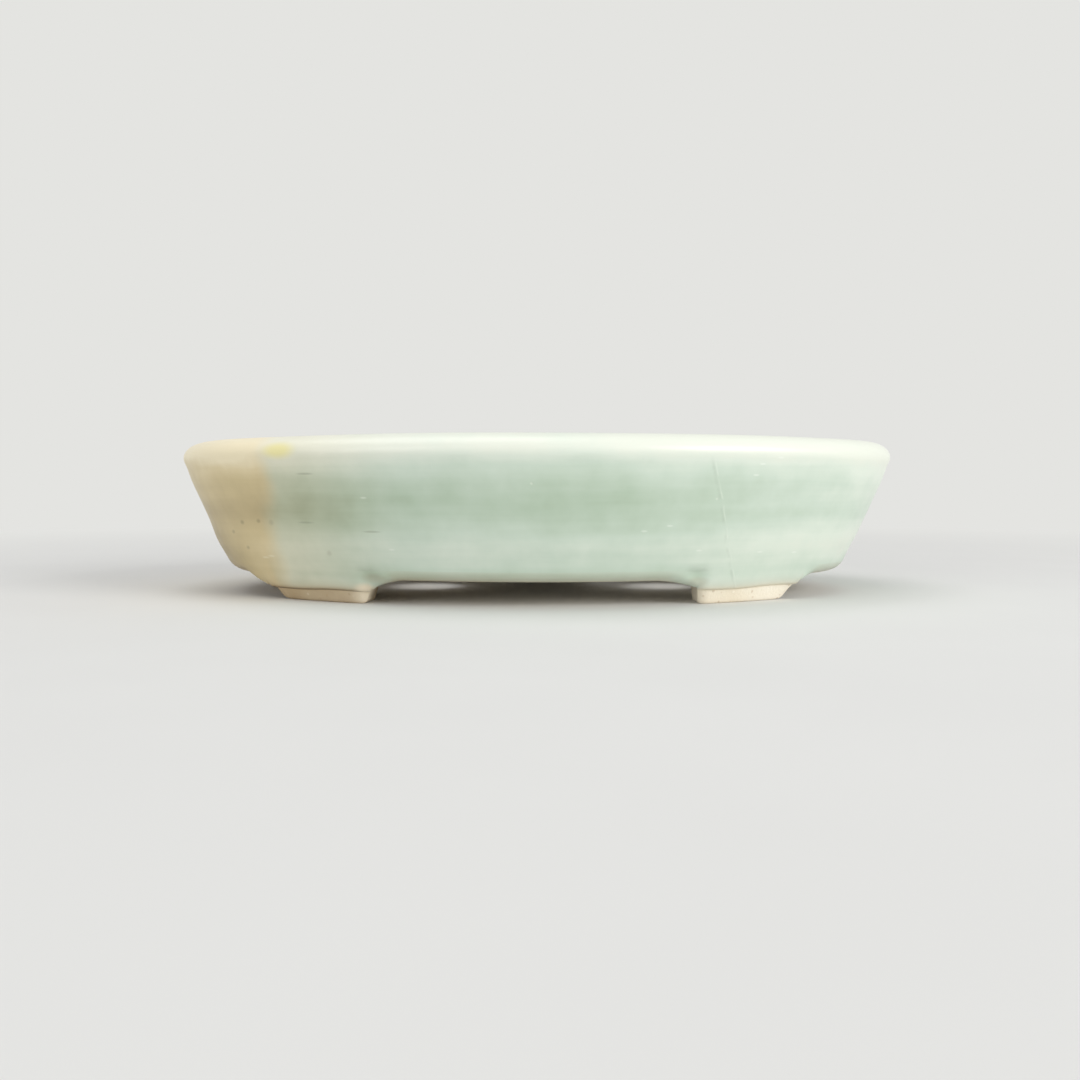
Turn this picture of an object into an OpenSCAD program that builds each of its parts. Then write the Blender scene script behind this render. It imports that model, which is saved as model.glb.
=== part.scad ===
// Shallow oval bonsai pot on four coved feet, slab built from separate pieces of clay and glazed.
// Millimetres. X runs along the pot, Y from front to back, Z up. The origin is on the table, under the
// middle of the pot.

/* [Overall size] */
// Length over the glazed lip, left to right
pot_length = 130; // [110:1:160]
// Depth over the glazed lip, front to back
pot_depth = 94; // [78:1:108]
// Height from the table to the crest of the lip
pot_height = 27; // [22:0.5:34]

/* [Wall and lip] */
// Lean of the wall, outward from upright, in degrees
wall_lean = 23; // [10:1:30]
// Thickness of the wall, measured square to its face
wall_thickness = 4.8; // [4:0.1:6]
// How far the lip's crest lies in from its widest line
lip_shoulder = 3.8; // [3:0.1:4.4]
// How far the lip's crest rises above its widest line
lip_rise = 2.35; // [1.6:0.05:2.8]
// How far the lip stands proud of the wall outside
lip_proud_outside = 0.1; // [0.05:0.05:0.4]
// How far the lip stands proud of the wall inside, along the level
lip_proud_inside = 0.5; // [0.2:0.05:1.2]
// Depth of the lip piece, from its crest down to where it is luted to the wall
lip_depth = 7; // [6.5:0.1:9]
// Size of the coil pressed into the corner between wall and floor
corner_coil = 2.5; // [1:0.1:4]

/* [Floor] */
// Thickness of the floor slab
floor_thickness = 5; // [4:0.1:6.5]
// Rounding of the slab's lower edge
edge_radius = 2.6; // [1.5:0.1:3.5]

/* [Drainage] */
// Diameter of each of the two drain holes
drain_diameter = 12; // [8:0.5:15]
// Bevel sponged round both edges of a drain hole
drain_bevel = 0.6; // [0.2:0.1:1.2]
// Distance between the drain holes, along the pot
drain_spacing = 44; // [36:1:54]
// Diameter of each of the four tie-wire holes
wire_diameter = 3.5; // [2.5:0.1:4.5]
// Distance between the tie-wire holes, along the pot
wire_spacing_along = 64; // [58:1:70]
// Distance between the tie-wire holes, front to back
wire_spacing_across = 20; // [14:1:26]

/* [Feet] */
// Height of the floor's underside above the table
foot_height = 4.4; // [3.4:0.1:6]
// Opening between the feet along the front and the back, at the table
front_opening = 51.5; // [44:0.5:60]
// Length of a foot, round the outer edge that stands on the table
foot_length = 18; // [14:0.5:22]
// Width of a foot across the wall, where it stands on the table
foot_width = 6.5; // [5:0.5:8]
// Radius of the coves in the top corners of an opening
cove_radius = 5; // [3.5:0.1:6]
// How far the crown of a cove would rise above the floor's underside
cove_rise = 0.8; // [0.5:0.1:1.2]
// How much wider a foot gets towards the floor, on its hidden side
foot_spread = 1; // [0.5:0.1:3]

/* [Glaze] */
// Thickness of the glaze
glaze_thickness = 0.4; // [0.2:0.05:0.6]
// Height above the table at which the glaze ends on the feet
glaze_line = 2.2; // [1:0.1:2.8]
// How far the glaze runs down the inside, from the crest of the lip
glaze_inside = 8; // [7.5:0.5:9]
// How far the glaze is drawn under the rounded lower edge, in degrees from level
glaze_tuck = 70; // [50:5:80]

/* [Hidden] */

clay = "#e3d2b4";
celadon = "#c3d5c4";
round_facets = 180;
arc_step = 12;

// The oval is drawn with four arcs on 3-4-5 triangles: a small arc at each end, a large one along each side.
oval_unit = (pot_length - pot_depth) / 4;
end_centre = 3 * oval_unit;
side_centre = 4 * oval_unit;
end_radius = pot_length / 2 - end_centre;
side_radius = pot_depth / 2 + side_centre;
reach = 2 * pot_length;
across = 0.8 * reach;
along = 0.6 * reach;

floor_top = foot_height + floor_thickness;
lip_joint = pot_height - lip_depth;

// The lip is rolled over the wall: two quarters of an ellipse meet at its crest, a broad one outside and a
// narrow one inside. Each laps a little past the face of the wall below it.
lip_centre = [-lip_shoulder - glaze_thickness, pot_height - lip_rise - glaze_thickness];
centre_to_outside = bulge(lip_shoulder, lip_rise) - lip_proud_outside;
centre_to_inside = wall_thickness - centre_to_outside;
lip_inner_shoulder = centre_to_inside / cos(wall_lean) + lip_proud_inside;

// The wall's outer clay face goes through this point.
wall_point = lip_centre + centre_to_outside * [cos(wall_lean), -sin(wall_lean)];

// Lower edge of the slab, rounded about this centre.
edge_height = foot_height + edge_radius;
edge_centre = [wall_face(edge_height, -edge_radius), edge_height];

// Outer edge of the feet at the table. It is a ring, cut straight through from front to back at the front
// opening, and from end to end where a foot that starts there has its length.
toe = wall_face(0, 0);
toe_side_radius = side_radius + toe;
toe_end_radius = end_radius + toe;
arcs_meet = atan2(end_centre, side_centre);
foot_from = asin(front_opening / 2 / toe_side_radius);
foot_to = foot_from + foot_length / toe_side_radius * 180 / PI;
end_opening = 2 * (foot_to < arcs_meet
  ? toe_side_radius * cos(foot_to) - side_centre
  : toe_end_radius * cos(arcs_meet + (foot_to - arcs_meet) * toe_side_radius / toe_end_radius));

// Height of the centre of a cove, and how far the cove reaches out from it at the table. Where the centre is
// above the table, the end of the foot is upright below it.
cove_height = foot_height + cove_rise - cove_radius;
cove_reach = sqrt(pow(cove_radius, 2) - pow(min(cove_height, 0), 2));

// The glaze that ran down onto a foot is this much thicker than the coat above it, and starts this far up.
coat_run = 0.05;
coat_lap = edge_radius;

// Distance from the oval, along the level, of the face that lies out from the wall's outer clay face by
// a distance measured square to it.
function wall_face(height, out) =
  wall_point.x + (height - wall_point.y) * tan(wall_lean) + out / cos(wall_lean);

// How far an ellipse with these half-axes reaches from its centre, square to the leaning wall.
function bulge(half_width, half_height) = norm([half_width * cos(wall_lean), half_height * sin(wall_lean)]);

// Angle on such an ellipse, down from level, at which it reaches farthest that way.
function bulge_angle(half_width, half_height) =
  atan2(half_height * sin(wall_lean), half_width * cos(wall_lean));

// Angle from there to where the ellipse passes through a face at this distance from its centre.
function lap_angle(half_width, half_height, face) = acos(face / bulge(half_width, half_height));

function arc(centre, half_width, half_height, from, to) =
  let (steps = ceil(abs(to - from) / arc_step))
  [for (i = [0 : steps])
    let (a = from + (to - from) * i / steps)
    centre + [half_width * cos(a), half_height * sin(a)]];

// Outline over the lip with a coat of this thickness, from the wall's outer face over to its inner face.
function lip_arc(coat) =
  let (
    outer = lip_shoulder + coat,
    inner = lip_inner_shoulder + coat,
    rise = lip_rise + coat,
    from = -bulge_angle(outer, rise) - lap_angle(outer, rise, centre_to_outside + coat),
    to = 180 - bulge_angle(inner, rise) + lap_angle(inner, rise, centre_to_inside + coat))
  concat(
    arc(lip_centre, outer, rise, from, 90 - arc_step / 2),
    arc(lip_centre, inner, rise, 90, to));

// Outline round the lower edge, from under the floor up to the wall's outer face.
function edge_arc(coat, from) =
  arc(edge_centre, edge_radius + coat, edge_radius + coat, -from, -wall_lean);

function reversed(points) = [for (i = [len(points) - 1 : -1 : 0]) points[i]];

// Part of the plan that belongs to the arc at the right-hand end.
module end_zone() {
  translate([0, 0, -pot_height])
    linear_extrude(3 * pot_height)
      polygon([[end_centre, 0], [end_centre + along, -across], [end_centre + reach, -across],
               [end_centre + reach, across], [end_centre + along, across]]);
}

// Part of the plan that belongs to the arc along the back.
module side_zone() {
  translate([0, 0, -pot_height])
    linear_extrude(3 * pot_height)
      polygon([[-end_centre, 0], [end_centre, 0], [end_centre + along, across],
               [-end_centre - along, across]]);
}

module turned(radius) {
  rotate_extrude($fn = round_facets)
    intersection() {
      translate([radius, 0]) children();
      translate([0, -pot_height]) square([reach, 3 * pot_height]);
    }
}

// Carries a section round the oval. The section's X is the distance outside the oval, its Y the height.
module oval_sweep() {
  for (half = [0, 180])
    rotate(half) {
      intersection() {
        translate([end_centre, 0, 0]) turned(end_radius) children();
        end_zone();
      }
      intersection() {
        translate([0, -side_centre, 0]) turned(side_radius) children();
        side_zone();
      }
    }
}

module floor_section() {
  polygon(concat(
    [[-reach, foot_height]],
    edge_arc(0, 90),
    [[wall_face(floor_top, 0), floor_top], [-reach, floor_top]]));
}

module wall_section() {
  polygon([
    [wall_face(floor_top, 0), floor_top],
    [wall_face(lip_joint, 0), lip_joint],
    [wall_face(lip_joint, -wall_thickness), lip_joint],
    [wall_face(floor_top + corner_coil, -wall_thickness), floor_top + corner_coil],
    [wall_face(floor_top, -wall_thickness) - corner_coil, floor_top]]);
}

module lip_section() {
  polygon(concat(
    [[wall_face(lip_joint, -wall_thickness), lip_joint], [wall_face(lip_joint, 0), lip_joint]],
    lip_arc(0)));
}

module coat_section() {
  inside_end = pot_height - glaze_inside;
  polygon(concat(
    edge_arc(glaze_thickness, glaze_tuck),
    lip_arc(glaze_thickness),
    [[wall_face(inside_end, -wall_thickness - glaze_thickness), inside_end],
     [wall_face(inside_end, -wall_thickness), inside_end]],
    reversed(lip_arc(0)),
    reversed(edge_arc(0, glaze_tuck))));
}

module foot_section() {
  polygon([
    [toe, 0],
    [wall_face(foot_height, 0), foot_height],
    [toe - foot_width - foot_spread, foot_height],
    [toe - foot_width, 0]]);
}

module foot_coat_section() {
  top = foot_height + coat_lap;
  polygon([
    [wall_face(glaze_line, 0), glaze_line],
    [wall_face(glaze_line, glaze_thickness + coat_run), glaze_line],
    [wall_face(top, glaze_thickness + coat_run), top],
    [wall_face(top, 0), top]]);
}

// What is left beside an opening of this width: X runs outward from the middle of the opening, Y up.
module beside_opening(width) {
  difference() {
    translate([width / 2 - cove_reach, -foot_height]) square([reach, 4 * foot_height]);
    translate([width / 2 - cove_reach, cove_height]) circle(cove_radius, $fn = round_facets);
    translate([width / 2 - cove_reach, -foot_height]) square([cove_reach, foot_height + cove_height]);
  }
}

// The block that leaves the front right foot of the ring.
module foot_block() {
  intersection() {
    rotate([90, 0, 0]) linear_extrude(reach) beside_opening(front_opening);
    mirror([0, 1, 0]) rotate([90, 0, 90]) linear_extrude(reach) beside_opening(end_opening);
  }
}

// Puts what is drawn for the front right foot at a corner of the pot.
module at_corner(right, front) {
  mirror([right ? 0 : 1, 0, 0])
    mirror([0, front ? 0 : 1, 0])
      children();
}

module foot(right, front) {
  color(clay)
    at_corner(right, front)
      intersection() {
        oval_sweep() foot_section();
        foot_block();
      }
}

// What a drain hole takes out of the floor: the bore, and a cone that opens towards each face.
module drain_cut() {
  cylinder(h = pot_height, d = drain_diameter, $fn = round_facets);
  mouth = 2 * drain_bevel;
  for (face = [[foot_height, 1], [floor_top, 0]])
    translate([0, 0, face[0]])
      mirror([0, 0, face[1]])
        translate([0, 0, -drain_bevel])
          cylinder(h = mouth, d1 = drain_diameter, d2 = drain_diameter + 2 * mouth, $fn = round_facets);
}

module floor_slab() {
  color(clay)
    difference() {
      oval_sweep() floor_section();
      for (side = [-1, 1]) {
        translate([side * drain_spacing / 2, 0, 0]) drain_cut();
        for (end = [-1, 1])
          translate([side * wire_spacing_along / 2, end * wire_spacing_across / 2, 0])
            cylinder(h = pot_height, d = wire_diameter, $fn = round_facets);
      }
    }
}

module wall() {
  color(clay) oval_sweep() wall_section();
}

module rim_lip() {
  color(clay) oval_sweep() lip_section();
}

module foot_front_left() {
  foot(right = false, front = true);
}

module foot_front_right() {
  foot(right = true, front = true);
}

module foot_back_left() {
  foot(right = false, front = false);
}

module foot_back_right() {
  foot(right = true, front = false);
}

module glaze_coat() {
  color(celadon) {
    oval_sweep() coat_section();
    for (right = [false, true], front = [false, true])
      at_corner(right, front)
        intersection() {
          oval_sweep() foot_coat_section();
          foot_block();
        }
  }
}

floor_slab();
wall();
rim_lip();
foot_front_left();
foot_front_right();
foot_back_left();
foot_back_right();
glaze_coat();
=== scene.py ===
# A shallow oval bonsai pot in celadon glaze, on four coved feet: its looks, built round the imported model.
# Shapes are worked out in millimetres and handed to Blender in metres. X runs along the pot, Y from front
# to back, and Z up from the table.
import math

import bpy
import numpy as np
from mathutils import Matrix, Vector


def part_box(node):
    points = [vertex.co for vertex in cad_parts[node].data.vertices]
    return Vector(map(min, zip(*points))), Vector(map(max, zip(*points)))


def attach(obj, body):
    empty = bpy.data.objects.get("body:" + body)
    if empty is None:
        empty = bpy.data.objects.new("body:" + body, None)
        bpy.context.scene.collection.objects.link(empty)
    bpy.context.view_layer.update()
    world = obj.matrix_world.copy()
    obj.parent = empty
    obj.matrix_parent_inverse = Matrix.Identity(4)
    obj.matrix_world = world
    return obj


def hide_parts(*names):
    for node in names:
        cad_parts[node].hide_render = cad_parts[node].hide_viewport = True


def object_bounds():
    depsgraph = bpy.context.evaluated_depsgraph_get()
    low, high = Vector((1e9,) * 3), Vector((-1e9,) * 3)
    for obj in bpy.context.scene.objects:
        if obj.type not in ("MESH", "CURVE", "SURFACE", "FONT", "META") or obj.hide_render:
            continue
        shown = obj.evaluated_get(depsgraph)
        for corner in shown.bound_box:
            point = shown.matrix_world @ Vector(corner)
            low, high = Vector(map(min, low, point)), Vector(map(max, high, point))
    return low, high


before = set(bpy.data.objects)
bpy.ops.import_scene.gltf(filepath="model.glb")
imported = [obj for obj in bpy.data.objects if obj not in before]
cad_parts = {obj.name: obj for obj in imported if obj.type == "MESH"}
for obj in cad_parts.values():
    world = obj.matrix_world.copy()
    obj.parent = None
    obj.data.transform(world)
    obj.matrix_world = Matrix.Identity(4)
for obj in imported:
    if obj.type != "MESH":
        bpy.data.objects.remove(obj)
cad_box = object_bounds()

MM = 0.001

# Sizes of the pot, in millimetres
POT_LENGTH, POT_DEPTH, POT_HEIGHT = (np.array(cad_box[1]) - np.array(cad_box[0])) / MM
FLOOR_UNDERSIDE, FLOOR_TOP = (corner.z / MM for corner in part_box("floor_slab"))
LIP_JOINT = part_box("rim_lip")[0].z / MM

# The oval: four arcs on 3-4-5 triangles, a small one at each end and a large one along each side.
# Directions are measured from the front, and the arcs meet in this one.
OVAL_UNIT = (POT_LENGTH - POT_DEPTH) / 4
END_CENTRE, SIDE_CENTRE = 3 * OVAL_UNIT, 4 * OVAL_UNIT
END_RADIUS = POT_LENGTH / 2 - END_CENTRE
SIDE_RADIUS = POT_DEPTH / 2 + SIDE_CENTRE
ARCS_MEET = math.atan2(END_CENTRE, SIDE_CENTRE)

# The glaze: its thickness, where it ends inside and on the feet, how far it is drawn round the lower edge
# between the feet and in under their coves, and how deep its hidden side is sunk in the clay. The clay's
# own wall and lip stay a little deeper, and the feet just under the glaze.
GLAZE = 0.4
GLAZE_INSIDE_END = 19.0
GLAZE_LINE = 2.2
GLAZE_TUCK = math.radians(78)
GLAZE_UNDER_COVE = 3.5
GLAZE_SUNK, WALL_SUNK, FOOT_SUNK = 0.05, 0.1, 0.02

# The lip is a broad quarter of an ellipse outside and a narrow one inside, meeting at the crest. It stands
# a little proud of the wall, and it was rubbed soft where it meets the wall. The ellipse is drawn degree by
# degree, from inside to outside and past its own sides.
LIP_SHOULDER, LIP_INNER_SHOULDER, LIP_RISE = 3.8, 1.9, 2.35
LIP_PROUD, LIP_SOFTNESS = 0.1, 0.5
LIP_CENTRE = np.array([-LIP_SHOULDER - GLAZE, POT_HEIGHT - LIP_RISE - GLAZE])
LIP_ANGLES = np.radians(np.arange(230, -60, -1))

# The wall leans outward. Its toe is where its clay face would meet the table, outside the lip's oval.
LEAN = math.radians(23)
WALL_THICKNESS = 4.8
CORNER_FILLET = 3.0
LIP_CENTRE_TO_FACE = math.hypot(LIP_SHOULDER * math.cos(LEAN), LIP_RISE * math.sin(LEAN)) - LIP_PROUD
WALL_TOE = LIP_CENTRE[0] + LIP_CENTRE_TO_FACE / math.cos(LEAN) - LIP_CENTRE[1] * math.tan(LEAN)

# The feet: a ring under the floor's rounded edge, cut straight through from front to back and from end to
# end. Their backs spread towards the floor, which they reach into. A cove's tip bends up into it, more
# suddenly with a greater bend.
EDGE_RADIUS, FOOT_EDGE = 2.6, 0.4
FRONT_OPENING, FOOT_LENGTH = 51.5, 18.0
FOOT_WIDTH, FOOT_SPREAD = 6.5, 1.0
FOOT_IN_FLOOR, COVE_TIP_IN_FLOOR, COVE_TIP_BEND = 0.3, 0.1, 8
FOOT_TOP = FLOOR_UNDERSIDE + FOOT_IN_FLOOR

# Each cut was made and sponged by hand. It has a rounded corner at the table, an upright that leans a
# little and a cove that runs out under the floor: how far the cut strayed into the foot, the corner's
# radius, the upright's height and lean, the cove's width, and its bend, 1 for a straight bevel and more for
# a hollow one.
CUTS = {
    "front_left": {"front": (1.5, 1.2, 3.0, 0.9, 7.0, 3.0), "end": (-1.5, 1.1, 1.9, 0.2, 4.6, 1.5)},
    "front_right": {"front": (0.4, 0.6, 3.0, 0.2, 8.0, 2.4), "end": (-0.4, 0.8, 3.0, 0.1, 3.4, 3.0)},
    "back_left": {"front": (0.3, 0.8, 2.8, 0.4, 6.5, 2.2), "end": (-1.0, 0.5, 2.2, 0.3, 3.6, 1.4)},
    "back_right": {"front": (-0.2, 0.9, 2.6, 0.3, 7.0, 2.4), "end": (-0.7, 0.7, 2.4, 0.4, 3.4, 1.5)},
}
CUT_SOFTNESS = 0.12

# Sponging sank the upright edges of the feet, within this reach of a cut, deeper beside the front's cuts
# than at the ends, and less and less from one height to the other.
SPONGED_REACH, SPONGED_AT_FRONT, SPONGED_AT_END = 1.6, 0.8, 0.45
SPONGED_FULL, SPONGED_UP_TO = 1.5, 4.0

# Sponging also left a soft hollow where the front's coves spring: its depth, how far it lies outside the
# cut and above the floor's underside, and its half width and half height.
HOLLOW_DEPTH = 0.45
HOLLOW_OUTSIDE, HOLLOW_ABOVE = 0.6, 0.3
HOLLOW_HALF_WIDTH, HOLLOW_HALF_HEIGHT = 1.5, 1.3

# Hand building left the wall fuller than a straight one: by how much, the heights between which this sets
# in, and those between which it fades.
FULLNESS, FULL_FROM, FULL_TO = 0.3, (6.5, 11.0), (19.5, 23.5)

# Hand building also left a belly low on the left end: how far it stands out, its height and half height,
# and the X where it begins and where it is full.
BELLY, BELLY_HEIGHT, BELLY_HALF_HEIGHT = 0.45, 8.5, 3.2
BELLY_BEGINS, BELLY_FULL = -38.0, -52.0

# And it left waves round the pot, in the wall, in the lip and in the glaze's line: how many, the angle
# where they begin, and how strong they are. The lip drops towards the ends, and the glaze's line rises to
# the right by this much in each millimetre.
UNEVENNESS, LIP_DROP_AT_ENDS, LINE_SLOPE = 0.08, 0.2, 0.006
WALL_WAVES = [(3, 0.9, 1.0), (5, 2.2, 0.6), (9, 0.4, 0.4)]
LIP_WAVES = [(1, 0.0, 0.5), (3, 0.6, 0.6), (8, 2.0, 0.4)]
LINE_WAVES = [(9, 1.0, 0.1), (23, 0.0, 0.07)]

# How close together points lie: columns round the oval, rows down the lip as far as its bottom, down the
# wall and down its inner face, and points of a foot's outline along the coves and at the uprights, with
# this many in all. The hidden side of the glaze has rows this many times as far apart.
COLUMN, LIP_ROW, WALL_ROW, INNER_ROW = 0.36, 0.5, 1.4, 1.0
LIP_BOTTOM = 21.5
COVE_POINT, UPRIGHT_POINT, CUT_POINTS = 0.5, 0.15, 56
HIDDEN_COARSENESS = 3

# Points that a cove, the corner of a cut and the fillet in the wall's corner are first drawn with.
COVE_STEPS, CORNER_STEPS, FILLET_STEPS = 24, 10, 9

# Points that lie this close are one, and an edge that bends by more than this stays sharp.
SAME_POINT = 0.01
SHARP_EDGE = math.radians(50)


def wall_face(height, out=0.0):
    """How far outside the lip's oval a face lies that is this far out from the wall's clay face."""
    return WALL_TOE + height * math.tan(LEAN) + out / math.cos(LEAN)


EDGE_TOP = FLOOR_UNDERSIDE + EDGE_RADIUS
EDGE_CENTRE = np.array([wall_face(EDGE_TOP, -EDGE_RADIUS), EDGE_TOP])
TOE_RADIUS = SIDE_RADIUS + WALL_TOE
FOOT_END_WAY = math.asin(FRONT_OPENING / 2 / TOE_RADIUS) + FOOT_LENGTH / TOE_RADIUS
END_OPENING = 2 * (TOE_RADIUS * math.cos(FOOT_END_WAY) - SIDE_CENTRE)


def smooth_step(low, high, value):
    """0 below the low value and 1 above the high one, with a soft change between."""
    t = np.clip((value - low) / (high - low), 0, 1)
    return t * t * (3 - 2 * t)


def hump(value, middle, half_width):
    """1 at the middle, falling off softly to both sides."""
    return np.exp(-((value - middle) / half_width) ** 2)


def mixed(first, second, share):
    return first + (second - first) * share


def waves(turn, kinds):
    return sum(strength * np.cos(count * turn + start) for count, start, strength in kinds)


def resample(line, spacing, count=None):
    """The same line with its points spaced about this far apart, or this many of them. The spacing is one
    distance, or one for each point of the line."""
    steps = np.linalg.norm(np.diff(line, axis=0), axis=1) / np.broadcast_to(spacing, len(line))[1:]
    travelled = np.concatenate([[0], np.cumsum(steps)])
    places = np.linspace(0, travelled[-1], count or max(2, round(travelled[-1]) + 1))
    return np.column_stack([np.interp(places, travelled, axis) for axis in line.T])


def soften(line, radius, spacing=0.05):
    """The line with its corners rubbed down over about this radius. Its ends stay."""
    line = resample(line, spacing)
    reach = round(3 * radius / spacing)
    weights = np.exp(-0.5 * (np.arange(-reach, reach + 1) * spacing / radius) ** 2)
    before, after = 2 * line[0] - line[reach:0:-1], 2 * line[-1] - line[-2:-reach - 2:-1]
    padded = np.vstack([before, line, after])
    return np.column_stack([np.convolve(axis, weights / weights.sum(), "valid") for axis in padded.T])


# Nodes
def colour(code):
    """A linear colour from an sRGB hex value."""
    channels = [int(code[i:i + 2], 16) / 255 for i in (1, 3, 5)]
    return (*[c / 12.92 if c <= 0.04045 else ((c + 0.055) / 1.055) ** 2.4 for c in channels], 1.0)


def add(tree, kind, inputs=None, stops=(), **settings):
    """Adds a node with its settings. An input is a value, or the output that it is linked from. The stops
    of a colour ramp are pairs of a position and a hex colour, from 0 to 1."""
    node = tree.nodes.new(kind)
    for name, value in settings.items():
        setattr(node, name, value)
    for name, value in (inputs or {}).items():
        if isinstance(value, bpy.types.NodeSocket):
            tree.links.new(value, node.inputs[name])
        else:
            node.inputs[name].default_value = value
    for position, code in stops:
        ramp = node.color_ramp.elements
        stop = {0: ramp[0], 1: ramp[-1]}.get(position) or ramp.new(position)
        stop.color = colour(code)
    return next((socket for socket in node.outputs if socket.enabled), node)


def oval_tree():
    """Carries a closed section round the oval. The section's X is the distance outside the oval, its Y the
    height. Each vertex keeps its place on the oval, its outward direction and its step on the section."""
    tree = bpy.data.node_groups.new("carried round the oval", "GeometryNodeTree")
    named_inputs = {"Section": "Geometry", "Length": "Float", "Depth": "Float", "Column": "Float",
                    "Finish": "Material"}
    for name, kind in named_inputs.items():
        tree.interface.new_socket(name, in_out="INPUT", socket_type="NodeSocket" + kind)
    tree.interface.new_socket("Piece", in_out="OUTPUT", socket_type="NodeSocketGeometry")
    given = tree.nodes.new("NodeGroupInput").outputs
    position = add(tree, "GeometryNodeInputPosition")

    difference = add(tree, "ShaderNodeMath", {0: given["Length"], 1: given["Depth"]}, operation="SUBTRACT")
    unit = add(tree, "ShaderNodeMath", {0: difference, 1: 0.25}, operation="MULTIPLY")
    half_length = add(tree, "ShaderNodeMath", {0: given["Length"], 1: 0.5}, operation="MULTIPLY")
    half_depth = add(tree, "ShaderNodeMath", {0: given["Depth"], 1: 0.5}, operation="MULTIPLY")
    end_centre = add(tree, "ShaderNodeMath", {0: unit, 1: 3.0}, operation="MULTIPLY")
    side_centre = add(tree, "ShaderNodeMath", {0: unit, 1: -4.0}, operation="MULTIPLY")
    end_radius = add(tree, "ShaderNodeMath", {0: half_length, 1: end_centre}, operation="SUBTRACT")
    side_radius = add(tree, "ShaderNodeMath", {0: half_depth, 1: side_centre}, operation="SUBTRACT")

    arcs = tree.nodes.new("GeometryNodeJoinGeometry")
    end, side = (end_radius, end_centre, math.pi / 2 - ARCS_MEET), (side_radius, side_centre, ARCS_MEET)
    for quarter, (radius, centre, half_angle) in enumerate([end, side, end, side]):
        middle = quarter * math.pi / 2
        columns = add(tree, "ShaderNodeMath", {0: radius, 1: 2 * half_angle}, operation="MULTIPLY")
        columns = add(tree, "ShaderNodeMath", {0: columns, 1: given["Column"]}, operation="DIVIDE")
        arc = add(tree, "GeometryNodeCurveArc", {
            "Resolution": columns, "Radius": radius,
            "Start Angle": middle - half_angle, "Sweep Angle": 2 * half_angle}, mode="RADIUS")
        outward = add(tree, "ShaderNodeVectorMath", {0: position}, operation="NORMALIZE")
        arc = add(tree, "GeometryNodeStoreNamedAttribute", {
            "Geometry": arc, "Name": "outward", "Value": outward},
            data_type="FLOAT_VECTOR", domain="POINT")
        towards_middle = (math.cos(middle), math.sin(middle), 0)
        place = add(tree, "ShaderNodeVectorMath", {0: towards_middle, "Scale": centre}, operation="SCALE")
        arc = add(tree, "GeometryNodeTransform", {"Geometry": arc, "Translation": place})
        arc = add(tree, "GeometryNodeCurveToMesh", {"Curve": arc})
        tree.links.new(arc, arcs.inputs[0])

    joined = add(tree, "GeometryNodeMergeByDistance", {
        "Geometry": arcs.outputs[0], "Distance": SAME_POINT * MM})
    oval = add(tree, "GeometryNodeStoreNamedAttribute", {
        "Geometry": joined, "Name": "oval_point", "Value": position},
        data_type="FLOAT_VECTOR", domain="POINT")
    oval = add(tree, "GeometryNodeMeshToCurve", {"Mesh": oval})
    section = add(tree, "GeometryNodeMeshToCurve", {"Mesh": given["Section"]})
    section = add(tree, "GeometryNodeStoreNamedAttribute", {
        "Geometry": section, "Name": "section_step", "Value": add(tree, "GeometryNodeInputIndex")},
        data_type="INT", domain="POINT")
    piece = add(tree, "GeometryNodeCurveToMesh", {"Curve": oval, "Profile Curve": section})
    piece = add(tree, "GeometryNodeSetShadeSmooth", {"Geometry": piece})
    piece = add(tree, "GeometryNodeRealizeInstances", {"Geometry": piece})
    piece = add(tree, "GeometryNodeSetMaterial", {"Geometry": piece, "Material": given["Finish"]})
    add(tree, "NodeGroupOutput", {"Piece": piece})
    return tree


OVAL_TREE = oval_tree()


def carried_round(name, section, finish):
    """A piece made by carrying a closed section round the oval. Also gives, for each of its vertices, the
    place on the oval, the outward direction and the step along the section."""
    count = len(section)
    mesh = bpy.data.meshes.new(name + "_section")
    points = np.column_stack([section[:, 0], -section[:, 1], np.zeros(count)]) * MM
    mesh.from_pydata(points.tolist(), [(i, (i + 1) % count) for i in range(count)], [])
    maker = bpy.data.objects.new(name + "_section", mesh)
    bpy.context.scene.collection.objects.link(maker)
    modifier = maker.modifiers.new("carried round the oval", "NODES")
    modifier.node_group = OVAL_TREE
    sizes = {"Length": POT_LENGTH * MM, "Depth": POT_DEPTH * MM, "Column": COLUMN * MM, "Finish": finish}
    for socket, value in sizes.items():
        modifier[OVAL_TREE.interface.items_tree[socket].identifier] = value
    shape = bpy.data.meshes.new_from_object(maker.evaluated_get(bpy.context.evaluated_depsgraph_get()))
    maker.modifiers.remove(modifier)
    bpy.data.objects.remove(maker)
    bpy.data.meshes.remove(mesh)

    total = len(shape.vertices)
    oval_point, outward, step = np.zeros(3 * total), np.zeros(3 * total), np.zeros(total, np.int32)
    shape.attributes["oval_point"].data.foreach_get("vector", oval_point)
    shape.attributes["outward"].data.foreach_get("vector", outward)
    shape.attributes["section_step"].data.foreach_get("value", step)
    for attribute in ("oval_point", "outward", "section_step"):
        shape.attributes.remove(shape.attributes[attribute])
    shape.name = name
    piece = bpy.data.objects.new(name, shape)
    bpy.context.scene.collection.objects.link(piece)
    return piece, oval_point.reshape(-1, 3)[:, :2] / MM, outward.reshape(-1, 3)[:, :2], step


def put(piece, oval_point, outward, out, height, shift=0.0):
    """Puts each vertex this far outside the oval, at this height, as the maker's hand left it."""
    out, height = by_hand(oval_point, out, height)
    place = np.column_stack([oval_point + outward * out[:, None] + shift, height]) * MM
    piece.data.vertices.foreach_set("co", place.astype(np.float32).ravel())
    piece.data.set_sharp_from_angle(angle=SHARP_EDGE)
    piece.data.update()


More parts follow.
